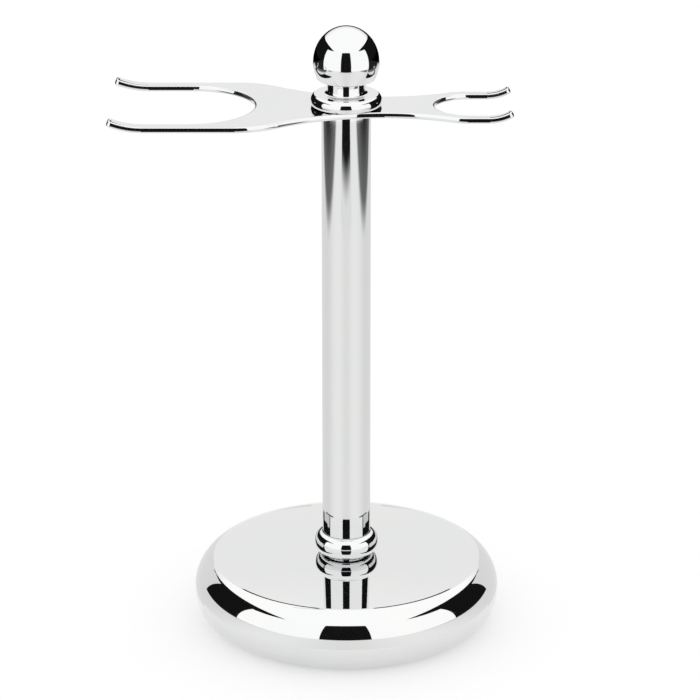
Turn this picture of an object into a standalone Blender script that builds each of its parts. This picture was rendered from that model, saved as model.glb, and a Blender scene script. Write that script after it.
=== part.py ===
"""Chromed shaving stand that holds a brush and a razor.

A weighted round base carries a tube post.  A flat plate with two open forks
lies on the post: the wide fork takes a brush handle, the narrow one a razor.
One long tie rod runs from a nut in the base to the ball finial and clamps
the whole stack.  Metres, +Z up, origin at the middle of the base's underside,
wide fork towards -X.
"""

import bpy
import bmesh
from math import pi, sin, cos, sqrt, asin, acos

# Clearances
SEAT = 0.0002            # between faces that rest on each other
SLIP = 0.0001            # radial, a piece that is located in another
ROD_SLIP = 0.0002        # radial, fixed pieces threaded over the tie rod
RUN = 0.0001             # radial, pieces that move on the tie rod

# Base
BASE_R = 0.0382          # widest radius
BASE_FLAT_R = 0.0335     # crease where the top meets the shoulder
BASE_FOOT_R = 0.0325     # open rim underneath
SHELL_H = 0.0168         # shell, rim to top
SHELL_WALL = 0.0010
DOME = 0.0007            # crown of the top
SHOULDER_H = 0.0081      # height of the shoulder, widest line to crease
SHOULDER_TURN = 1.10     # how far its arc turns up to the crease, in radians
PAD_T = 0.0020
PAD_PROUD = 0.0004       # pad stands below the rim
PAD_EDGE = 0.0004
BASE_FIT = 0.0005        # pad and weight inside the rim
WEIGHT_EDGE = 0.0025
NUT_WELL_R = 0.0075
NUT_WELL_H = 0.0090

# Tie rod and its hardware
ROD_R = 0.0025
ROD_TIP = 0.0006
ROD_TAIL = 0.0012        # rod below the nut
ROD_IN_BALL = 0.0090     # thread inside the ball
WASHER_R = 0.0060
WASHER_T = 0.0010
LOCK_R = 0.0044
LOCK_T = 0.0013
LOCK_SPLIT = 0.0008
NUT_FLATS = 0.0080
NUT_H = 0.0040

# Base collar
COLLAR_BEAD_H = 0.0057   # height of the half-round bead
COLLAR_BEAD_W = 0.0022   # its half-width in section
COLLAR_REACH = 0.00195   # bead past the tube's wall
COLLAR_FLOOR = 0.0016    # solid floor under the tube
SPIGOT_R = 0.0045

# Post
POST_R = 0.0060
POST_WALL = 0.0010
POST_L = 0.1138
POST_EDGE = 0.0002
BUSH_L = 0.0100
BUSH_EDGE = 0.0004

# Fork plate
PLATE_T = 0.0014
PLATE_EDGE = 0.0003
WAIST_X = 0.0090         # narrowest point
WAIST_HALF = 0.0068
BRUSH_SLOT_R = 0.01565   # half the slot's width, and its round end
BRUSH_SLOT_X = -0.0375   # centre of the round end
BRUSH_PRONG = 0.0031
BRUSH_SHOULDER_R = 0.0160
BRUSH_SHOULDER_X = -0.0265
BRUSH_TIP_X = -0.0567
BRUSH_TURN = 0.0085      # length of the upturned tip
RAZOR_SLOT_R = 0.00875
RAZOR_SLOT_X = 0.0299
RAZOR_PRONG = 0.0024
RAZOR_SHOULDER_R = 0.0100
RAZOR_SHOULDER_X = 0.0290
RAZOR_TIP_X = 0.0400
RAZOR_TURN = 0.0058
TIP_RISE = 0.00175       # how far the tips turn up
TIP_CORNER = 0.0008

# Finial
FIN_COLLAR_H = 0.0027
FIN_COLLAR_R = 0.0086
FIN_RIM_R = 0.0020       # section radius of the collar's rim
FIN_RIM_Z = 0.00104      # height of its widest line
FIN_RIM_TOP = 0.0002     # flat lip above the rim
BALL_R = 0.00795
BALL_RISE = 0.0087       # half its height: the ball is a little taller than wide
BALL_LIFT = 0.0079       # ball centre above the collar's top
BALL_CUT = 0.0046        # flat underside below the centre
BALL_EDGE = 0.0003
NECK_R = 0.0046
NECK_COVE = 0.0006
BORE_SPARE = 0.0010      # bore past the rod's end

# Facets
ROUND = 44
ROUND_BASE = 56
ROUND_SMALL = 32

# Levels, from the table up
rim_z = PAD_PROUD
top_z = rim_z + SHELL_H
wide_z = top_z - DOME - SHOULDER_H
pad_top = PAD_T
weight_z = pad_top + SEAT
weight_top = top_z - DOME - SHELL_WALL - SEAT
well_z = weight_z + NUT_WELL_H
washer_z = well_z - SEAT - WASHER_T
lock_z = washer_z - SEAT - LOCK_T
nut_z = lock_z - SEAT - NUT_H
rod_z = nut_z - ROD_TAIL
collar_z = top_z + SEAT
tube_z = collar_z + COLLAR_FLOOR + SEAT
tube_top = tube_z + POST_L
plate_z = tube_top + SEAT
plate_top = plate_z + PLATE_T
fin_collar_z = plate_top + SEAT
ball_foot_z = fin_collar_z + FIN_COLLAR_H + SEAT
ball_z = fin_collar_z + FIN_COLLAR_H + BALL_LIFT
rod_top = ball_foot_z + ROD_IN_BALL
tube_bore_r = POST_R - POST_WALL


def start_scene():
    for ob in list(bpy.data.objects):
        bpy.data.objects.remove(ob, do_unlink=True)
    for name in ("shaving_stand", "shaving_stand_cutters"):
        bpy.context.scene.collection.children.link(bpy.data.collections.new(name))


def material(name, colour, metallic, roughness):
    mat = bpy.data.materials.new(name)
    mat.use_nodes = True
    shader = mat.node_tree.nodes["Principled BSDF"]
    shader.inputs["Base Color"].default_value = (*colour, 1.0)
    shader.inputs["Metallic"].default_value = metallic
    shader.inputs["Roughness"].default_value = roughness
    return mat


def link(ob, parent=None, collection="shaving_stand"):
    bpy.data.collections[collection].objects.link(ob)
    if parent is not None:
        ob.parent = parent
    return ob


def empty(name, z, parent=None):
    ob = bpy.data.objects.new(name, None)
    ob.location = (0.0, 0.0, z)
    return link(ob, parent)


def arc(cx, cz, rx, rz, a0, a1, count):
    """Points on an ellipse from angle a0 to a1, measured from +X towards +Z."""
    turn = [a0 + (a1 - a0) * i / count for i in range(count + 1)]
    return [(cx + rx * cos(a), cz + rz * sin(a)) for a in turn]


def smooth(mesh, angle=0.6):
    mesh.shade_smooth()
    mesh.set_sharp_from_angle(angle=angle)


def turned(name, profile, mat, parent, z=0.0, steps=ROUND, closed=True, wall=0.0):
    """Spin a profile about Z.  It runs down the outside, then up the inside."""
    mesh = bpy.data.meshes.new(name)
    bm = bmesh.new()
    verts = [bm.verts.new((r, 0.0, h)) for r, h in profile]
    for a, b in zip(verts, verts[1:]):
        bm.edges.new((a, b))
    if closed:
        bm.edges.new((verts[-1], verts[0]))
    bm.to_mesh(mesh)
    bm.free()
    mesh.materials.append(mat)
    ob = bpy.data.objects.new(name, mesh)
    ob.location = (0.0, 0.0, z)
    link(ob, parent)
    spin = ob.modifiers.new("Spin", "SCREW")
    spin.axis = "Z"
    spin.angle = 2.0 * pi
    spin.steps = steps
    spin.render_steps = steps
    spin.use_merge_vertices = True
    spin.merge_threshold = 0.00001
    spin.use_smooth_shade = True
    if wall:
        skin = ob.modifiers.new("Wall", "SOLIDIFY")
        skin.thickness = wall
        skin.offset = -1.0
    return ob


def ring(name, r_out, r_in, height, mat, parent, z, edge=0.0, steps=ROUND_SMALL):
    """A plain turned ring, standing on z, with its four edges broken."""
    e = edge
    if e:
        profile = [(r_out - e, height), (r_out, height - e), (r_out, e), (r_out - e, 0.0),
                   (r_in + e, 0.0), (r_in, e), (r_in, height - e), (r_in + e, height)]
    else:
        profile = [(r_out, height), (r_out, 0.0), (r_in, 0.0), (r_in, height)]
    return turned(name, profile, mat, parent, z, steps)


def cutter(mesh, name, z):
    ob = bpy.data.objects.new(name, mesh)
    ob.location = (0.0, 0.0, z)
    ob.hide_render = True
    ob.display_type = "WIRE"
    return link(ob, None, "shaving_stand_cutters")


def cut(ob, tool):
    mod = ob.modifiers.new("Cut " + tool.name, "BOOLEAN")
    mod.operation = "DIFFERENCE"
    mod.object = tool
    mod.solver = "EXACT"


def base_shell(mat, parent):
    """Spun cup, open underneath: flat crown, creased round shoulder, tucked-in foot."""
    hole = SPIGOT_R + SLIP
    flat = [hole, (hole + BASE_FLAT_R) / 2.0]
    profile = [(r, top_z - DOME * (r / BASE_FLAT_R) ** 2) for r in flat]
    wide = (BASE_R - BASE_FLAT_R) / (1.0 - cos(SHOULDER_TURN))
    tall = SHOULDER_H / sin(SHOULDER_TURN)
    profile += arc(BASE_R - wide, wide_z, wide, tall, SHOULDER_TURN, 0.0, 8)
    foot = arc(BASE_FOOT_R, wide_z, BASE_R - BASE_FOOT_R, wide_z - rim_z, 0.0, -pi / 2, 6)
    profile += foot[1:]
    return turned("base_shell", profile, mat, parent, steps=ROUND_BASE, closed=False, wall=SHELL_WALL)


def base_weight(mat, parent):
    """Cast disc with a well for the nut, and a top edge rounder the nearer the foot's rim is to the crease."""
    r = BASE_FOOT_R - BASE_FIT
    rod = ROD_R + ROD_SLIP
    h = weight_top - weight_z
    edge = WEIGHT_EDGE + BASE_FIT + (BASE_FOOT_R - BASE_FLAT_R) / 2.0
    profile = arc(r - edge, h - edge, edge, edge, pi / 2, 0.0, 4)
    profile += [(r, 0.0), (NUT_WELL_R, 0.0), (NUT_WELL_R, NUT_WELL_H), (rod, NUT_WELL_H), (rod, h)]
    return turned("base_weight", profile, mat, parent, weight_z, steps=ROUND_BASE)


def base_pad(mat, parent):
    r = BASE_FOOT_R - BASE_FIT
    e = PAD_EDGE
    profile = [(0.0, PAD_T), (r - e, PAD_T), (r, PAD_T - e), (r, e), (r - e, 0.0), (0.0, 0.0)]
    return turned("base_pad", profile, mat, parent, steps=ROUND_BASE, closed=False)


def base_collar(mat, parent):
    """Tall half-round bead outside, a seat for the tube inside, a spigot below."""
    mid = POST_R + COLLAR_REACH - COLLAR_BEAD_W
    half = COLLAR_BEAD_H / 2.0
    seat_r = POST_R + SLIP
    rod = ROD_R + ROD_SLIP
    high = acos((seat_r - mid) / COLLAR_BEAD_W)
    profile = arc(mid, half, COLLAR_BEAD_W, half, high, -pi / 2, 12)
    profile += [(SPIGOT_R, 0.0), (SPIGOT_R, -SHELL_WALL), (rod, -SHELL_WALL)]
    profile += [(rod, COLLAR_FLOOR), (seat_r, COLLAR_FLOOR)]
    return turned("base_collar", profile, mat, parent, collar_z)


def finial_collar(mat, parent):
    """Seating ring with a rounded rim and a flat top."""
    mid = FIN_COLLAR_R - FIN_RIM_R
    low = -asin(FIN_RIM_Z / FIN_RIM_R)
    high = asin((FIN_COLLAR_H - FIN_RIM_TOP - FIN_RIM_Z) / FIN_RIM_R)
    rim = arc(mid, FIN_RIM_Z, FIN_RIM_R, FIN_RIM_R, high, low, 8)
    rod = ROD_R + RUN
    profile = [(rim[0][0] - FIN_RIM_TOP, FIN_COLLAR_H)] + rim
    profile += [(rod, 0.0), (rod, FIN_COLLAR_H)]
    return turned("finial_collar", profile, mat, parent)


def finial_ball(mat, parent):
    """Tall ball, cut flat below, on a coved neck, with a blind bore for the rod."""
    centre = ball_z - ball_foot_z
    under = centre - BALL_CUT
    low = -asin((BALL_CUT - BALL_EDGE) / BALL_RISE)
    profile = arc(0.0, centre, BALL_R, BALL_RISE, pi / 2, low, 14)
    profile[0] = (0.0, centre + BALL_RISE)
    profile += [(profile[-1][0] - BALL_EDGE, under)]
    cove_r = NECK_R + NECK_COVE
    profile += arc(cove_r, under - NECK_COVE, NECK_COVE, NECK_COVE, pi / 2, pi, 2)
    profile += arc(cove_r, NECK_COVE, NECK_COVE, NECK_COVE, pi, 1.5 * pi, 2)
    bore = ROD_R + RUN
    end = rod_top - ball_foot_z + BORE_SPARE
    profile += [(bore, 0.0), (bore, end), (0.0, end + bore)]
    return turned("finial_ball", profile, mat, parent, FIN_COLLAR_H + SEAT, closed=False)


def fork_edge(slot_r, prong, shoulder_r, shoulder_x, side):
    """Outer edge from the waist to the prong: a hollow arc, then a round one."""
    rise = slot_r + prong - WAIST_HALF
    run = side * (shoulder_x - WAIST_X)
    both = (run * run + rise * rise) / (2.0 * rise)
    hollow = both - shoulder_r
    lean = acos((both - rise) / both)
    points = []
    for i in range(9):
        a = lean * i / 8
        points.append((WAIST_X + side * hollow * sin(a), WAIST_HALF + hollow * (1.0 - cos(a))))
    for i in range(1, 9):
        a = lean * (1.0 - i / 8)
        points.append((shoulder_x - side * shoulder_r * sin(a), slot_r + prong - shoulder_r * (1.0 - cos(a))))
    return points


def fork_half(slot_r, slot_x, prong, shoulder_r, shoulder_x, tip_x, side):
    """Edge of one fork on +Y, from the waist round the prong to the slot's middle."""
    points = fork_edge(slot_r, prong, shoulder_r, shoulder_x, side)
    c = TIP_CORNER
    outer = slot_r + prong
    points += [(tip_x - side * c, outer), (tip_x - side * c * 0.3, outer - c * 0.3), (tip_x, outer - c)]
    points += [(tip_x, slot_r + c), (tip_x - side * c * 0.3, slot_r + c * 0.3), (tip_x - side * c, slot_r)]
    for i in range(13):
        a = 0.5 * pi * (1.0 - i / 12)
        points.append((slot_x - side * slot_r * cos(a), slot_r * sin(a)))
    return points


def turn_up(x, h, start, length, side):
    """Bend a point past start upwards on an arc that rises by TIP_RISE."""
    past = side * (x - start)
    if past <= 0.0:
        return x, h
    radius = (length * length + TIP_RISE * TIP_RISE) / (2.0 * TIP_RISE)
    a = past / radius
    return start + side * (radius - h) * sin(a), radius - (radius - h) * cos(a)


def fork_plate(mat, parent):
    """Flat sheet with two forks, cut from one outline, tips turned up."""
    brush = fork_half(BRUSH_SLOT_R, BRUSH_SLOT_X, BRUSH_PRONG, BRUSH_SHOULDER_R,
                      BRUSH_SHOULDER_X, BRUSH_TIP_X, -1.0)
    razor = fork_half(RAZOR_SLOT_R, RAZOR_SLOT_X, RAZOR_PRONG, RAZOR_SHOULDER_R,
                      RAZOR_SHOULDER_X, RAZOR_TIP_X, 1.0)
    upper = razor[::-1] + brush[1:]
    lower = [(x, -y) for x, y in upper[::-1]][1:-1]
    hole = ROD_R + RUN
    ends = [2.0 * pi * i / ROUND_SMALL for i in range(ROUND_SMALL)]
    curve = bpy.data.curves.new("fork_outline", "CURVE")
    curve.dimensions = "2D"
    curve.fill_mode = "BOTH"
    curve.extrude = PLATE_T / 2.0 - PLATE_EDGE
    curve.bevel_depth = PLATE_EDGE
    curve.bevel_resolution = 1
    curve.offset = -PLATE_EDGE
    for loop in (upper + lower, [(hole * cos(a), hole * sin(a)) for a in ends]):
        spline = curve.splines.new("POLY")
        spline.points.add(len(loop) - 1)
        for point, (x, y) in zip(spline.points, loop):
            point.co = (x, y, 0.0, 1.0)
        spline.use_cyclic_u = True
    flat = link(bpy.data.objects.new("fork_outline", curve))
    seen = flat.evaluated_get(bpy.context.evaluated_depsgraph_get())
    mesh = bpy.data.meshes.new_from_object(seen)
    mesh.name = "fork_plate"
    bpy.data.objects.remove(flat, do_unlink=True)
    bpy.data.curves.remove(curve)
    bm = bmesh.new()
    bm.from_mesh(mesh)
    bmesh.ops.remove_doubles(bm, verts=bm.verts, dist=0.000001)
    bends = ((BRUSH_TIP_X + BRUSH_TURN, BRUSH_TURN, -1.0, 8), (RAZOR_TIP_X - RAZOR_TURN, RAZOR_TURN, 1.0, 6))
    for start, length, side, count in bends:
        for i in range(count):
            at = start + side * (length - TIP_CORNER) * i / (count - 0.5)
            geom = bm.verts[:] + bm.edges[:] + bm.faces[:]
            bmesh.ops.bisect_plane(bm, geom=geom, dist=0.000001, plane_co=(at, 0.0, 0.0), plane_no=(1.0, 0.0, 0.0))
    for v in bm.verts:
        for start, length, side, count in bends:
            v.co.x, v.co.z = turn_up(v.co.x, v.co.z, start, length, side)
    bmesh.ops.recalc_face_normals(bm, faces=bm.faces)
    bm.to_mesh(mesh)
    bm.free()
    mesh.materials.clear()
    mesh.materials.append(mat)
    smooth(mesh)
    ob = bpy.data.objects.new("fork_plate", mesh)
    ob.location = (0.0, 0.0, PLATE_T / 2.0)
    return link(ob, parent)


def base_nut(mat, parent):
    mesh = bpy.data.meshes.new("base_nut")
    bm = bmesh.new()
    corner = NUT_FLATS / sqrt(3.0)
    bmesh.ops.create_cone(bm, cap_ends=True, segments=6, radius1=corner, radius2=corner, depth=NUT_H)
    bmesh.ops.translate(bm, verts=bm.verts, vec=(0.0, 0.0, NUT_H / 2.0))
    bm.to_mesh(mesh)
    bm.free()
    mesh.materials.append(mat)
    ob = bpy.data.objects.new("base_nut", mesh)
    ob.location = (0.0, 0.0, nut_z)
    link(ob, parent)
    cut(ob, round_tool("nut_bore", ROD_R + RUN, NUT_H * 3.0, nut_z + NUT_H / 2.0))
    return ob


def round_tool(name, radius, depth, z):
    mesh = bpy.data.meshes.new(name)
    bm = bmesh.new()
    bmesh.ops.create_cone(bm, cap_ends=True, segments=ROUND_SMALL, radius1=radius, radius2=radius, depth=depth)
    bm.to_mesh(mesh)
    bm.free()
    return cutter(mesh, name, z)


def lock_washer(mat, parent):
    """Spring ring with a slit through one side."""
    ob = ring("base_lock_washer", LOCK_R, ROD_R + ROD_SLIP, LOCK_T, mat, parent, lock_z)
    mesh = bpy.data.meshes.new("lock_slit")
    bm = bmesh.new()
    bmesh.ops.create_cube(bm, size=1.0)
    bmesh.ops.scale(bm, verts=bm.verts, vec=(LOCK_R, LOCK_SPLIT, LOCK_T * 3.0))
    bmesh.ops.translate(bm, verts=bm.verts, vec=(LOCK_R, 0.0, LOCK_T / 2.0))
    bm.to_mesh(mesh)
    bm.free()
    cut(ob, cutter(mesh, "lock_slit", lock_z))
    return ob


def tie_rod(mat, parent):
    h = rod_top - rod_z
    e = ROD_TIP
    profile = [(0.0, h), (ROD_R - e, h), (ROD_R, h - e), (ROD_R, e), (ROD_R - e, 0.0), (0.0, 0.0)]
    return turned("tie_rod", profile, mat, parent, rod_z, steps=ROUND_SMALL, closed=False)


def build():
    start_scene()
    chrome = (0.83, 0.84, 0.85)
    steel = material("zinc_steel", (0.55, 0.56, 0.57), 1.0, 0.35)
    stand = empty("stand", 0.0)
    base_pad(material("pad_rubber", (0.03, 0.03, 0.03), 0.0, 0.9), stand)
    base_shell(material("base_chrome", chrome, 1.0, 0.04), stand)
    base_weight(material("cast_weight", (0.12, 0.12, 0.13), 0.9, 0.6), stand)
    ring("base_washer", WASHER_R, ROD_R + ROD_SLIP, WASHER_T, steel, stand, washer_z)
    lock_washer(material("spring_steel", (0.3, 0.3, 0.31), 1.0, 0.4), stand)
    base_nut(material("nut_steel", (0.6, 0.6, 0.58), 1.0, 0.3), stand)
    tie_rod(material("rod_steel", (0.5, 0.5, 0.51), 1.0, 0.35), stand)
    base_collar(material("collar_chrome", chrome, 1.0, 0.04), stand)
    ring("post_tube", POST_R, tube_bore_r, POST_L, material("post_chrome", chrome, 1.0, 0.04), stand,
         tube_z, POST_EDGE, ROUND)
    ring("post_bush", tube_bore_r - SLIP, ROD_R + ROD_SLIP, BUSH_L, material("bush_brass", (0.7, 0.5, 0.22), 1.0, 0.3),
         stand, tube_top - BUSH_L, BUSH_EDGE)
    swivel = empty("fork_swivel", plate_z, stand)
    fork_plate(material("fork_chrome", chrome, 1.0, 0.04), swivel)
    rise = empty("finial_axis", fin_collar_z, stand)
    finial_collar(material("seat_chrome", chrome, 1.0, 0.04), rise)
    finial_ball(material("ball_chrome", chrome, 1.0, 0.04), rise)


build()
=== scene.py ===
"""Looks for a chromed stand that holds a shaving brush and a razor."""

import bpy
import bmesh
from math import pi, sin, cos, asin, acos, atan2, radians
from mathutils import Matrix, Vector


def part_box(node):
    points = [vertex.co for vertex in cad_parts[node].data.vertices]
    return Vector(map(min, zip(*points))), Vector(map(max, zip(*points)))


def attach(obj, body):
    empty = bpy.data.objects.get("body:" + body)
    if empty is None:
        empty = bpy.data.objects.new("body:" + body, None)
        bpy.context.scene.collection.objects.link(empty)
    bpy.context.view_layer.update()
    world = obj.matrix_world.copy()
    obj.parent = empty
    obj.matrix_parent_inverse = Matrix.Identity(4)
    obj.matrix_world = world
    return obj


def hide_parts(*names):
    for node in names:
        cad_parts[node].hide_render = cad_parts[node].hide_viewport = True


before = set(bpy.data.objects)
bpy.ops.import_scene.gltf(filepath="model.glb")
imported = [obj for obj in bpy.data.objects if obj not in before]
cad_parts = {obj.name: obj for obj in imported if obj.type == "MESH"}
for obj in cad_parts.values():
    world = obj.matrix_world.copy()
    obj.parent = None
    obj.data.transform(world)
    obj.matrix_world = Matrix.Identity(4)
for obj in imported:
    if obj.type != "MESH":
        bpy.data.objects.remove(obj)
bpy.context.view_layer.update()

# Sizes in metres, as in the solids
SLIP = 0.0001            # radial, a piece that is located in another or moves on the rod
ROD_SLIP = 0.0002        # radial, a fixed piece threaded over the rod
ROD_R = 0.0025
BORE_SPARE = 0.0010      # bore past the rod's end
BASE_R = 0.0382
BASE_FLAT_R = 0.0335
BASE_FOOT_R = 0.0325
SHELL_WALL = 0.0010
DOME = 0.0007
SHOULDER_H = 0.0081
SHOULDER_TURN = 1.10     # radians
BEAD_HALF = 0.00285      # half the height of the base collar's bead
BEAD_W = 0.0022          # its half-width in section
BEAD_REACH = 0.00195     # how far it passes the tube's wall
COLLAR_FLOOR = 0.0016
SPIGOT_R = 0.0045
POST_R = 0.0060
POST_WALL = 0.0010
POST_EDGE = 0.0002
FIN_RIM_R = 0.0020       # section radius of the finial collar's rim
FIN_RIM_Z = 0.00104      # height of its widest line
FIN_RIM_TOP = 0.0002     # flat lip above it
BALL_R = 0.00795
BALL_RISE = 0.0087
BALL_CUT = 0.0046
NECK_R = 0.0046
PLATE_T = 0.0014
WAIST_X = 0.0090
WAIST_HALF = 0.0068
TIP_RISE = 0.00175
TIP_CORNER = 0.0008
BRUSH = dict(slot_r=0.01565, slot_x=-0.0375, prong=0.0031, round_r=0.0160, round_x=-0.0265,
             tip_x=-0.0567, turn=0.0085, side=-1.0)
RAZOR = dict(slot_r=0.00875, slot_x=0.0299, prong=0.0024, round_r=0.0100, round_x=0.0290,
             tip_x=0.0400, turn=0.0058, side=1.0)

# Fine forms that the solids leave out
CREASE_LIP = 0.0001      # height of the lip along the base's crease
CREASE_LIP_W = 0.0006
BALL_EDGE = 0.0005       # rounding of the ball's flat underside
NECK_COVE = 0.0006
NECK_FLARE = 0.0007      # how far the neck's foot spreads
NECK_FLARE_H = 0.0010
NECK_GAP = 0.000005      # neck above its collar
PLATE_ROUND = 0.0005     # rounding of the plate's edges
PLATE_RIM = 0.00006      # height of the rim round the plate's top
PLATE_RIM_W = 0.0003
TIP_CUTS = 24            # facets along an upturned tip

shell_low, shell_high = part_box("base_shell")
collar_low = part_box("base_collar")[0]
tube_low, tube_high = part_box("post_tube")
plate_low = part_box("fork_plate")[0]
seat_low, seat_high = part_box("finial_collar")
ball_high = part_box("finial_ball")[1]
rod_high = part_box("tie_rod")[1]


# Finishes

def finish_nodes(name):
    mat = bpy.data.materials.new(name)
    mat.use_nodes = True
    tree = mat.node_tree
    return mat, tree, tree.nodes["Principled BSDF"]


def object_noise(tree, scale, detail=3.0, stretch=(1.0, 1.0, 1.0)):
    place = tree.nodes.new("ShaderNodeTexCoord")
    turn = tree.nodes.new("ShaderNodeMapping")
    turn.inputs["Scale"].default_value = stretch
    noise = tree.nodes.new("ShaderNodeTexNoise")
    noise.inputs["Scale"].default_value = scale
    noise.inputs["Detail"].default_value = detail
    tree.links.new(place.outputs["Object"], turn.inputs["Vector"])
    tree.links.new(turn.outputs["Vector"], noise.inputs["Vector"])
    return noise.outputs["Fac"]


def spread(tree, source, low, high):
    """Stretch the middle of a 0 to 1 pattern between two values."""
    node = tree.nodes.new("ShaderNodeMapRange")
    node.inputs["From Min"].default_value = 0.3
    node.inputs["From Max"].default_value = 0.7
    node.inputs["To Min"].default_value = low
    node.inputs["To Max"].default_value = high
    tree.links.new(source, node.inputs["Value"])
    return node.outputs["Result"]


def two_tones(tree, source, first, second, low=0.35, high=0.65):
    ramp = tree.nodes.new("ShaderNodeValToRGB")
    ramp.color_ramp.elements[0].position = low
    ramp.color_ramp.elements[0].color = (*first, 1.0)
    ramp.color_ramp.elements[1].position = high
    ramp.color_ramp.elements[1].color = (*second, 1.0)
    tree.links.new(source, ramp.inputs["Fac"])
    return ramp.outputs["Color"]


def relief(tree, shader, source, strength, distance):
    bump = tree.nodes.new("ShaderNodeBump")
    bump.inputs["Strength"].default_value = strength
    bump.inputs["Distance"].default_value = distance
    tree.links.new(source, bump.inputs["Height"])
    tree.links.new(bump.outputs["Normal"], shader.inputs["Normal"])


def polished_chrome(name, tone=0.78):
    """Bright plating: clean mirror, a breath of haze in slow patches."""
    mat, tree, shader = finish_nodes(name)
    shader.inputs["Metallic"].default_value = 1.0
    haze = object_noise(tree, 60.0)
    cool = (tone * 0.985, tone * 0.995, tone)
    warm = (tone * 1.01, tone * 1.008, tone)
    tree.links.new(two_tones(tree, haze, cool, warm), shader.inputs["Base Color"])
    tree.links.new(spread(tree, haze, 0.018, 0.034), shader.inputs["Roughness"])
    return mat


def plated_steel(name, first, second, rough):
    """Zinc on drawn bar: fine lines along the length, blotched colour."""
    mat, tree, shader = finish_nodes(name)
    shader.inputs["Metallic"].default_value = 1.0
    blotch = object_noise(tree, 220.0)
    lines = object_noise(tree, 900.0, 2.0, (1.0, 1.0, 0.05))
    tree.links.new(two_tones(tree, blotch, first, second), shader.inputs["Base Color"])
    tree.links.new(spread(tree, lines, rough - 0.08, rough + 0.12), shader.inputs["Roughness"])
    relief(tree, shader, lines, 0.15, 0.0001)
    return mat


def turned_brass(name):
    """Fine rings from the lathe."""
    mat, tree, shader = finish_nodes(name)
    shader.inputs["Metallic"].default_value = 1.0
    rings = object_noise(tree, 1400.0, 2.0, (0.05, 0.05, 1.0))
    colour = two_tones(tree, rings, (0.62, 0.42, 0.16), (0.75, 0.55, 0.25))
    tree.links.new(colour, shader.inputs["Base Color"])
    tree.links.new(spread(tree, rings, 0.2, 0.4), shader.inputs["Roughness"])
    relief(tree, shader, rings, 0.2, 0.0001)
    return mat


def rough_casting(name):
    """Sand-cast iron, grainy and blotched."""
    mat, tree, shader = finish_nodes(name)
    shader.inputs["Metallic"].default_value = 0.7
    sand = object_noise(tree, 900.0, 6.0)
    blotch = object_noise(tree, 90.0)
    colour = two_tones(tree, blotch, (0.07, 0.065, 0.06), (0.13, 0.125, 0.12))
    tree.links.new(colour, shader.inputs["Base Color"])
    tree.links.new(spread(tree, sand, 0.5, 0.8), shader.inputs["Roughness"])
    relief(tree, shader, sand, 0.6, 0.0004)
    return mat


def foam_rubber(name):
    """Black rubber with fine cells."""
    mat, tree, shader = finish_nodes(name)
    cells = object_noise(tree, 1600.0, 4.0)
    colour = two_tones(tree, cells, (0.012, 0.012, 0.012), (0.04, 0.04, 0.042))
    tree.links.new(colour, shader.inputs["Base Color"])
    tree.links.new(spread(tree, cells, 0.75, 0.95), shader.inputs["Roughness"])
    relief(tree, shader, cells, 0.5, 0.0003)
    return mat


# Making pieces

def bow(cx, cz, rx, rz, a0, a1, count):
    """Profile points on an arc, from +X towards +Z."""
    turn = [a0 + (a1 - a0) * i / count for i in range(count + 1)]
    return [(cx + rx * cos(a), cz + rz * sin(a)) for a in turn]


def keep(bm, name, mat, body, node, sharp=0.7):
    """Close the bmesh into a piece that stands for a node and rides on its body."""
    mesh = bpy.data.meshes.new(name)
    bm.to_mesh(mesh)
    bm.free()
    mesh.materials.append(mat)
    mesh.shade_smooth()
    mesh.set_sharp_from_angle(angle=sharp)
    piece = bpy.data.objects.new(name, mesh)
    bpy.context.scene.collection.objects.link(piece)
    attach(piece, body)
    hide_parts(node)
    return piece


def lathe(profile, steps=192, closed=True):
    """Spin a profile of (radius, height) once round Z."""
    bm = bmesh.new()
    verts = [bm.verts.new((r, 0.0, h)) for r, h in profile]
    edges = [bm.edges.new(pair) for pair in zip(verts, verts[1:])]
    if closed:
        edges.append(bm.edges.new((verts[-1], verts[0])))
    bmesh.ops.spin(bm, geom=verts + edges, cent=(0.0, 0.0, 0.0), axis=(0.0, 0.0, 1.0),
                   angle=2.0 * pi, steps=steps, use_merge=True)
    bmesh.ops.remove_doubles(bm, verts=bm.verts, dist=0.000002)
    bmesh.ops.recalc_face_normals(bm, faces=bm.faces)
    return bm


def base_shell():
    """Spun cup: flat crown, a fine lip along the crease, round shoulder, tucked-in foot."""
    top = shell_high[2]
    rim = shell_low[2]
    hole = SPIGOT_R + SLIP
    wide_z = top - DOME - SHOULDER_H
    wide = (BASE_R - BASE_FLAT_R) / (1.0 - cos(SHOULDER_TURN))
    tall = SHOULDER_H / sin(SHOULDER_TURN)
    crown = [hole + (BASE_FLAT_R - CREASE_LIP_W - hole) * i / 24 for i in range(25)]
    profile = [(r, top - (DOME + CREASE_LIP) * (r / BASE_FLAT_R) ** 2) for r in crown]
    profile += bow(BASE_R - wide, wide_z, wide, tall, SHOULDER_TURN, 0.0, 48)
    profile += bow(BASE_FOOT_R, wide_z, BASE_R - BASE_FOOT_R, wide_z - rim, 0.0, -pi / 2, 30)[1:]
    piece = keep(lathe(profile, 224, closed=False), "base_shell_spun", polished_chrome("base chrome"),
                 "stand", "base_shell", 0.15)
    wall = piece.modifiers.new("Wall", "SOLIDIFY")
    wall.thickness = SHELL_WALL
    wall.offset = -1.0


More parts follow.
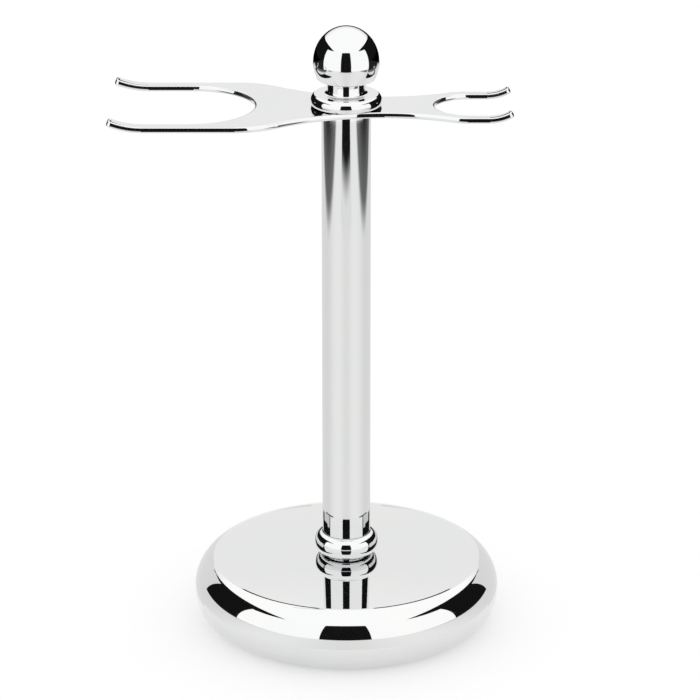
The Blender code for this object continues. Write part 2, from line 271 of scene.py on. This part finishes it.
def base_collar():
    """Tall half-round bead on the base, with a seat for the tube and a spigot below."""
    low = collar_low[2]
    foot = low + SHELL_WALL
    mid = POST_R + BEAD_REACH - BEAD_W
    seat_r = POST_R + SLIP
    rod_r = ROD_R + ROD_SLIP
    high = acos((seat_r - mid) / BEAD_W)
    profile = bow(mid, foot + BEAD_HALF, BEAD_W, BEAD_HALF, high, -pi / 2, 56)
    profile += [(SPIGOT_R, foot), (SPIGOT_R, low), (rod_r, low)]
    profile += [(rod_r, foot + COLLAR_FLOOR), (seat_r, foot + COLLAR_FLOOR)]
    keep(lathe(profile), "base_collar_turned", polished_chrome("collar chrome"),
         "stand", "base_collar")


def post_tube():
    """Drawn tube, its edges broken."""
    low = tube_low[2]
    high = tube_high[2]
    inner = POST_R - POST_WALL
    e = POST_EDGE
    profile = [(POST_R - e, high), (POST_R, high - e), (POST_R, low + e), (POST_R - e, low)]
    profile += [(inner + e, low), (inner, low + e), (inner, high - e), (inner + e, high)]
    keep(lathe(profile), "post_tube_drawn", polished_chrome("post chrome"),
         "stand", "post_tube")


def finial_collar():
    """Seating ring with a rounded rim and a flat top."""
    low = seat_low[2]
    high = seat_high[2]
    mid = seat_high[0] - FIN_RIM_R
    start = asin((high - low - FIN_RIM_TOP - FIN_RIM_Z) / FIN_RIM_R)
    end = -asin(FIN_RIM_Z / FIN_RIM_R)
    rim = bow(mid, low + FIN_RIM_Z, FIN_RIM_R, FIN_RIM_R, start, end, 40)
    rod_r = ROD_R + SLIP
    profile = [(rim[0][0] - FIN_RIM_TOP, high)] + rim + [(rod_r, low), (rod_r, high)]
    keep(lathe(profile), "finial_collar_turned", polished_chrome("seat chrome"),
         "finial_seat", "finial_collar")


def finial_ball():
    """Tall ball, cut flat below with a soft edge, on a coved neck, with a blind bore."""
    top = ball_high[2]
    foot = seat_high[2] + NECK_GAP
    centre = top - BALL_RISE
    low = -asin((BALL_CUT - BALL_EDGE) / BALL_RISE)
    lean = atan2(sin(low) * BALL_R, cos(low) * BALL_RISE)
    profile = [(0.0, top)] + bow(0.0, centre, BALL_R, BALL_RISE, pi / 2, low, 90)[1:]
    edge_r = profile[-1][0] - BALL_EDGE * cos(lean)
    edge_z = profile[-1][1] - BALL_EDGE * sin(lean)
    under = edge_z - BALL_EDGE
    profile += bow(edge_r, edge_z, BALL_EDGE, BALL_EDGE, lean, -pi / 2, 10)[1:]
    profile += bow(NECK_R + NECK_COVE, under - NECK_COVE, NECK_COVE, NECK_COVE, pi / 2, pi, 12)
    profile += bow(NECK_R + NECK_FLARE, foot + NECK_FLARE_H, NECK_FLARE, NECK_FLARE_H, pi, 1.5 * pi, 12)
    bore = ROD_R + SLIP
    end = rod_high[2] + BORE_SPARE
    profile += [(bore, foot), (bore, end), (0.0, end + bore)]
    keep(lathe(profile, closed=False), "finial_ball_turned", polished_chrome("ball chrome"),
         "finial", "finial_ball")


# Fork plate: the same outline as the solid, with finer arcs

def fork_edge(fork):
    """One fork's edge on +Y: hollow arc, round arc, prong, tip, slot."""
    side = fork["side"]
    slot_r = fork["slot_r"]
    round_r = fork["round_r"]
    tip = fork["tip_x"]
    outer = slot_r + fork["prong"]
    rise = outer - WAIST_HALF
    run = side * (fork["round_x"] - WAIST_X)
    both = (run * run + rise * rise) / (2.0 * rise)
    hollow = both - round_r
    lean = acos((both - rise) / both)
    c = TIP_CORNER
    points = []
    for i in range(33):
        a = lean * i / 32
        points.append((WAIST_X + side * hollow * sin(a), WAIST_HALF + hollow * (1.0 - cos(a))))
    for i in range(1, 25):
        a = lean * (1.0 - i / 24)
        points.append((fork["round_x"] - side * round_r * sin(a), outer - round_r * (1.0 - cos(a))))
    for i in range(7):
        a = 0.5 * pi * i / 6
        points.append((tip - side * c * (1.0 - sin(a)), outer - c * (1.0 - cos(a))))
    for i in range(7):
        a = 0.5 * pi * i / 6
        points.append((tip - side * c * (1.0 - cos(a)), slot_r + c * (1.0 - sin(a))))
    for i in range(49):
        a = 0.5 * pi * (1.0 - i / 48)
        points.append((fork["slot_x"] - side * slot_r * cos(a), slot_r * sin(a)))
    return points


def slice_tips(bm):
    """Cut the prongs across where their tips are to bend."""
    for fork in (BRUSH, RAZOR):
        side = fork["side"]
        start = fork["tip_x"] - side * fork["turn"]
        for i in range(TIP_CUTS):
            at = start + side * (fork["turn"] - TIP_CORNER) * i / (TIP_CUTS - 0.5)
            bmesh.ops.bisect_plane(bm, geom=bm.verts[:] + bm.edges[:] + bm.faces[:], dist=0.000001,
                                   plane_co=(at, 0.0, 0.0), plane_no=(1.0, 0.0, 0.0))


def turn_up(co, fork):
    """Bend what lies past the start of a tip upwards on an arc."""
    side = fork["side"]
    start = fork["tip_x"] - side * fork["turn"]
    past = side * (co.x - start)
    if past > 0.0:
        radius = (fork["turn"] ** 2 + TIP_RISE ** 2) / (2.0 * TIP_RISE)
        a = past / radius
        deep = radius - co.z
        co.x = start + side * deep * sin(a)
        co.z = radius - deep * cos(a)


def flat_sheet():
    """The plate as a flat slab with sharp edges and a hole for the rod, its middle at z 0."""
    upper = fork_edge(RAZOR)[::-1] + fork_edge(BRUSH)[1:]
    outline = upper + [(x, -y) for x, y in upper[::-1]][1:-1]
    bm = bmesh.new()
    verts = [bm.verts.new((x, y, -PLATE_T / 2.0)) for x, y in outline]
    for pair in zip(verts, verts[1:] + verts[:1]):
        bm.edges.new(pair)
    hole = bmesh.ops.create_circle(bm, cap_ends=False, segments=64, radius=ROD_R + SLIP)
    bmesh.ops.translate(bm, verts=hole["verts"], vec=(0.0, 0.0, -PLATE_T / 2.0))
    bmesh.ops.triangle_fill(bm, edges=bm.edges[:], use_beauty=True, use_dissolve=False)
    bmesh.ops.recalc_face_normals(bm, faces=bm.faces)
    slice_tips(bm)
    lifted = bmesh.ops.extrude_face_region(bm, geom=bm.faces[:], use_keep_orig=True)
    top = [g for g in lifted["geom"] if isinstance(g, bmesh.types.BMVert)]
    bmesh.ops.translate(bm, verts=top, vec=(0.0, 0.0, PLATE_T))
    bmesh.ops.recalc_face_normals(bm, faces=bm.faces)
    flats = [f for f in bm.faces if abs(f.normal.z) > 0.9]
    bmesh.ops.dissolve_limit(bm, angle_limit=0.001, verts=list({v for f in flats for v in f.verts}),
                             edges=[e for e in bm.edges if all(f in flats for f in e.link_faces)])
    slice_tips(bm)
    return bm


def fork_plate():
    """Sheet with two forks: edges rounded, a fine rim raised round the top, tips turned up."""
    bm = flat_sheet()
    corners = [e for e in bm.edges if len(e.link_faces) == 2 and e.calc_face_angle(0.0) > 1.2]
    bmesh.ops.bevel(bm, geom=corners, offset=PLATE_ROUND, offset_type="OFFSET", affect="EDGES", segments=7,
                    profile=0.5, material=-1, clamp_overlap=True)
    level = 0.9999
    flats = [f for f in bm.faces if f.normal.z > level]
    inset = bmesh.ops.inset_region(bm, faces=flats, thickness=PLATE_RIM_W, depth=0.0, use_boundary=True,
                                   use_even_offset=True)
    flats = [f for f in bm.faces if f.normal.z > level and f not in inset["faces"]]
    inner = {v for f in flats for v in f.verts}
    clear_of_hole = 2.0 * ROD_R
    for v in bm.verts:
        deep = PLATE_T / 2.0 - v.co.z
        if v not in inner and deep < PLATE_ROUND and v.co.xy.length > clear_of_hole:
            v.co.z += PLATE_RIM * (1.0 - deep / PLATE_ROUND)
    for v in bm.verts:
        turn_up(v.co, BRUSH)
        turn_up(v.co, RAZOR)
        v.co.z += plate_low[2] + PLATE_T / 2.0
    piece = keep(bm, "fork_plate_pressed", polished_chrome("fork chrome"),
                 "fork", "fork_plate", 1.2)
    flat = piece.modifiers.new("Flat faces", "WEIGHTED_NORMAL")
    flat.weight = 100
    flat.keep_sharp = True


def dress_hidden_pieces():
    """Finishes for the nodes that stay as the solids are."""
    finishes = {
        "base_pad": foam_rubber("pad foam"),
        "base_weight": rough_casting("weight casting"),
        "base_washer": plated_steel("washer zinc", (0.48, 0.49, 0.5), (0.62, 0.63, 0.64), 0.32),
        "base_lock_washer": plated_steel("spring steel", (0.2, 0.2, 0.21), (0.32, 0.32, 0.33), 0.38),
        "base_nut": plated_steel("nut zinc", (0.52, 0.52, 0.5), (0.66, 0.65, 0.62), 0.3),
        "tie_rod": plated_steel("rod zinc", (0.45, 0.45, 0.46), (0.58, 0.58, 0.59), 0.34),
        "post_bush": turned_brass("bush brass"),
    }
    for node, mat in finishes.items():
        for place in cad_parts[node].material_slots:
            place.material = mat


# Studio: a pale floor in a white room.  The cards round it are seen only in the chrome.
# Radii and heights in metres from the foot of the stand, azimuths in degrees, 0 towards the camera.
PANEL_FOOT = (0.43, 0.0)     # radius and height
PANEL_HEAD = (1.12, 0.968)
PANEL_AZ = 84.0              # where the front panels end
PANEL_FALL_AZ = 40.0         # from here on their tops fall
PANEL_FALL = 0.22
PANEL_LIGHT = 1.22
DARK_R = 3.60
DARK_H = 3.40
DARK_AZ = 40.0
DARK_LIGHT = 0.008
# card over the floor with the floor's light and shade painted on, seen in the chrome
FLOOR_LIGHT_IN_R = 0.05
FLOOR_LIGHT_R = 3.70
FLOOR_LIGHT_Z = 0.001
BACK_R = 0.045
BACK_FOOT = 0.002
BACK_TOP = 0.0211
BACK_MID_TOP = 0.0234        # taller towards the sides
BACK_SIDE_TOP = 0.0243
BACK_MID_Y = 0.026
BACK_SIDE_Y = 0.0055
BACK_AZ = 168.0
BACK_LIGHT = 0.84
CEILING_Z = 0.879
CEILING_HALF = 0.976         # half its width above the stand
CEILING_SPREAD = 0.175       # how much wider for each metre back
CEILING_FRONT = -1.0
CEILING_BACK = 3.0
SLOT_HALF = 0.131            # half the width of the dark slot between the panels
SLOT_OFF = -0.005            # its middle, left of the camera's
SLOT_LEAN = -0.008           # more of this at its top
SLOT_SPREAD = 1.29           # how much wider at the top
SLOT_FRONT_Y = -0.40
SLOT_RUN = 0.60              # how far it leans away
SHADE_Z = 0.002
SHADE_NEAR_Y = -0.29
SHADE_FAR_Y = -0.42


def card_finish(name):
    mat = bpy.data.materials.new(name)
    mat.use_nodes = True
    tree = mat.node_tree
    tree.nodes.remove(tree.nodes["Principled BSDF"])
    light = tree.nodes.new("ShaderNodeEmission")
    light.inputs["Color"].default_value = (1.0, 1.0, 1.0, 1.0)
    tree.links.new(light.outputs["Emission"], tree.nodes["Material Output"].inputs["Surface"])
    return mat, tree, light.inputs["Strength"]


def even_card(name, strength):
    mat, _, light = card_finish(name)
    light.default_value = strength
    return mat


def fade(tree, source, start, end, first, last):
    """Soft change from one value to another between two places."""
    node = tree.nodes.new("ShaderNodeMapRange")
    node.interpolation_type = "SMOOTHSTEP"
    node.inputs["From Min"].default_value = start
    node.inputs["From Max"].default_value = end
    node.inputs["To Min"].default_value = first
    node.inputs["To Max"].default_value = last
    tree.links.new(source, node.inputs["Value"])
    return node.outputs["Result"]


def sums(tree, kind, first, second=None):
    node = tree.nodes.new("ShaderNodeMath")
    node.operation = kind
    tree.links.new(first, node.inputs[0])
    if second is not None:
        tree.links.new(second, node.inputs[1])
    return node.outputs[0]


def place_parts(tree):
    place = tree.nodes.new("ShaderNodeTexCoord")
    parts = tree.nodes.new("ShaderNodeSeparateXYZ")
    tree.links.new(place.outputs["Object"], parts.inputs["Vector"])
    return parts.outputs["X"], parts.outputs["Y"]


def ceiling_light():
    """Bright overhead, a little dimmer towards the back."""
    mat, tree, light = card_finish("ceiling light")
    y = place_parts(tree)[1]
    tree.links.new(fade(tree, y, 0.64, 1.84, 1.23, 0.99), light)
    return mat


def slot_shade():
    """Dark on the floor in front of the slot, pale again towards the stand."""
    mat, tree, light = card_finish("slot shade")
    y = place_parts(tree)[1]
    tree.links.new(fade(tree, y, -0.385, -0.325, 0.01, 0.90), light)
    return mat


def painted_floor_light():
    """Glowing card on the floor that only mirrors see, with the floor's light painted on: painted shade
    ends it at both sides and at the back, and dims it to the sides.
    """
    mat, tree, light = card_finish("floor painted light")
    x, y = place_parts(tree)
    front = sums(tree, "MULTIPLY", y)
    front.node.inputs[1].default_value = -1.0
    round_it = sums(tree, "ABSOLUTE", sums(tree, "ARCTAN2", x, front))
    out = sums(tree, "ABSOLUTE", x)
    # painted shade: the painted floor light falls off past both sides and past the back
    sides = sums(tree, "MULTIPLY", fade(tree, out, 0.292, 0.34, 1.0, 0.19),
                 fade(tree, out, 0.335, 0.45, 1.0, 0.12))
    ends = sums(tree, "MULTIPLY", sides, fade(tree, y, 0.42, 0.48, 1.0, 0.0))
    # painted shade by azimuth: a little dimmer straight in front, dimmer towards the sides
    tone = sums(tree, "MULTIPLY", fade(tree, round_it, 0.0, 0.61, 0.90, 1.0),
                fade(tree, round_it, 0.79, 1.75, 1.0, 0.84))
    tree.links.new(sums(tree, "MULTIPLY", ends, tone), light)
    return mat


def stand_card(bm, name, mat):
    """Place a card that only mirrors see."""
    mesh = bpy.data.meshes.new(name)
    bm.to_mesh(mesh)
    bm.free()
    mesh.materials.append(mat)
    card = bpy.data.objects.new(name, mesh)
    bpy.context.scene.collection.objects.link(card)
    card.visible_camera = False
    card.visible_diffuse = False
    card.visible_shadow = False


def round_card(first, last, az0, az1):
    """Spin a straight edge, given as two (radius, height) ends."""
    bm = bmesh.new()
    start = radians(az0)
    ends = [bm.verts.new((r * sin(start), -r * cos(start), z)) for r, z in (first, last)]
    edge = bm.edges.new(ends)
    bmesh.ops.spin(bm, geom=ends + [edge], cent=(0.0, 0.0, 0.0), axis=(0.0, 0.0, 1.0),
                   angle=radians(az1 - az0), steps=48, use_merge=False)
    return bm


def flat_card(x, y0, y1, z):
    bm = bmesh.new()
    bmesh.ops.create_grid(bm, x_segments=1, y_segments=1, size=0.5)
    bmesh.ops.scale(bm, verts=bm.verts, vec=(2.0 * x, y1 - y0, 1.0))
    bmesh.ops.translate(bm, verts=bm.verts, vec=(0.0, (y0 + y1) / 2.0, z))
    return bm


def front_light(name, az0, az1):
    """White panel beside the slot, leaning away, its top falling towards the side."""
    bm = round_card(PANEL_FOOT, PANEL_HEAD, az0, az1)
    fall = radians(PANEL_FALL_AZ)
    for v in bm.verts:
        round_it = abs(atan2(v.co.x, -v.co.y))
        if v.co.z > PANEL_HEAD[1] / 2.0 and round_it > fall:
            v.co.z -= PANEL_FALL * (round_it - fall) / radians(PANEL_AZ - PANEL_FALL_AZ)
    stand_card(bm, name, even_card(name, PANEL_LIGHT))


def back_card(name, az0, az1):
    """Low pale card close behind the base, in two steps taller towards the side."""
    bm = round_card((BACK_R, BACK_FOOT), (BACK_R, BACK_TOP), az0, az1)
    for v in bm.verts:
        if v.co.z > BACK_TOP / 2.0 and v.co.y < BACK_MID_Y:
            v.co.z = BACK_SIDE_TOP if v.co.y < BACK_SIDE_Y else BACK_MID_TOP
    stand_card(bm, name, even_card(name, BACK_LIGHT))


def ceiling():
    """Overhead card that widens towards the back."""
    bm = flat_card(0.5, CEILING_FRONT, CEILING_BACK, CEILING_Z)
    for v in bm.verts:
        v.co.x *= 2.0 * (CEILING_HALF + CEILING_SPREAD * v.co.y)
    stand_card(bm, "ceiling", ceiling_light())


def slot(dark):
    """Dark gap in front of the panels, in line with the camera, and its end on the floor."""
    bm = flat_card(SLOT_HALF, SHADE_FAR_Y, SHADE_NEAR_Y, SHADE_Z)
    bmesh.ops.translate(bm, verts=bm.verts, vec=(SLOT_OFF, 0.0, 0.0))
    stand_card(bm, "slot_floor", slot_shade())
    bm = flat_card(SLOT_HALF, 0.0, 1.0, 0.0)
    for v in bm.verts:
        up = v.co.y
        x = v.co.x * (1.0 + SLOT_SPREAD * up) + SLOT_OFF + SLOT_LEAN * up
        v.co = (x, SLOT_FRONT_Y - SLOT_RUN * up, CEILING_Z * up)
    stand_card(bm, "slot_gap", dark)


def pale_floor():
    """Floor that takes the stand's shadow and looks white."""
    bm = bmesh.new()
    bmesh.ops.create_grid(bm, x_segments=1, y_segments=1, size=4.0)
    mesh = bpy.data.meshes.new("floor")
    bm.to_mesh(mesh)
    bm.free()
    floor = bpy.data.objects.new("floor", mesh)
    bpy.context.scene.collection.objects.link(floor)
    mat, tree, shader = finish_nodes("pale floor")
    shader.inputs["Base Color"].default_value = (0.6, 0.6, 0.6, 1.0)
    shader.inputs["Roughness"].default_value = 1.0
    shader.inputs["Specular IOR Level"].default_value = 0.0
    shader.inputs["Emission Color"].default_value = (0.42, 0.42, 0.42, 1.0)
    path = tree.nodes.new("ShaderNodeLightPath")
    seen = sums(tree, "MAXIMUM", path.outputs["Is Camera Ray"], path.outputs["Is Glossy Ray"])
    seen = sums(tree, "MAXIMUM", seen, path.outputs["Is Transmission Ray"])
    tree.links.new(seen, shader.inputs["Emission Strength"])
    mesh.materials.append(mat)


def white_room():
    world = bpy.data.worlds.new("white room")
    world.use_nodes = True
    back = world.node_tree.nodes["Background"]
    back.inputs["Color"].default_value = (1.0, 1.0, 1.0, 1.0)
    back.inputs["Strength"].default_value = 1.0
    bpy.context.scene.world = world
    bpy.context.scene.view_settings.view_transform = "Standard"


def studio():
    front_light("light_right", 0.0, PANEL_AZ)
    front_light("light_left", -PANEL_AZ, 0.0)
    dark = even_card("dark card", DARK_LIGHT)
    wall = round_card((DARK_R, 0.0), (DARK_R, DARK_H), DARK_AZ, 360.0 - DARK_AZ)
    stand_card(wall, "dark_room", dark)
    # floor card with painted floor light and shade
    sheet = round_card((FLOOR_LIGHT_IN_R, FLOOR_LIGHT_Z), (FLOOR_LIGHT_R, FLOOR_LIGHT_Z), 0.0, 360.0)
    stand_card(sheet, "floor_painted_light", painted_floor_light())
    back_card("back_card_right", PANEL_AZ, BACK_AZ)
    back_card("back_card_left", 360.0 - BACK_AZ, 360.0 - PANEL_AZ)
    ceiling()
    slot(dark)
    pale_floor()
    white_room()


def photo_camera():
    """Long lens, looking down a little from the front."""
    tilt = radians(20.85)
    reach = 0.878
    aim = Vector((0.00091, 0.0, 0.07147))
    lens = bpy.data.cameras.new("photo")
    lens.sensor_width = 36.0
    lens.lens = 182.9
    lens.clip_start = 0.01
    lens.clip_end = 20.0
    camera = bpy.data.objects.new("photo", lens)
    camera.location = aim + Vector((0.0, -reach * cos(tilt), reach * sin(tilt)))
    camera.rotation_euler = (pi / 2 - tilt, 0.0, 0.0)
    bpy.context.scene.collection.objects.link(camera)
    bpy.context.scene.camera = camera


base_shell()
base_collar()
post_tube()
fork_plate()
finial_collar()
finial_ball()
dress_hidden_pieces()
studio()
photo_camera()
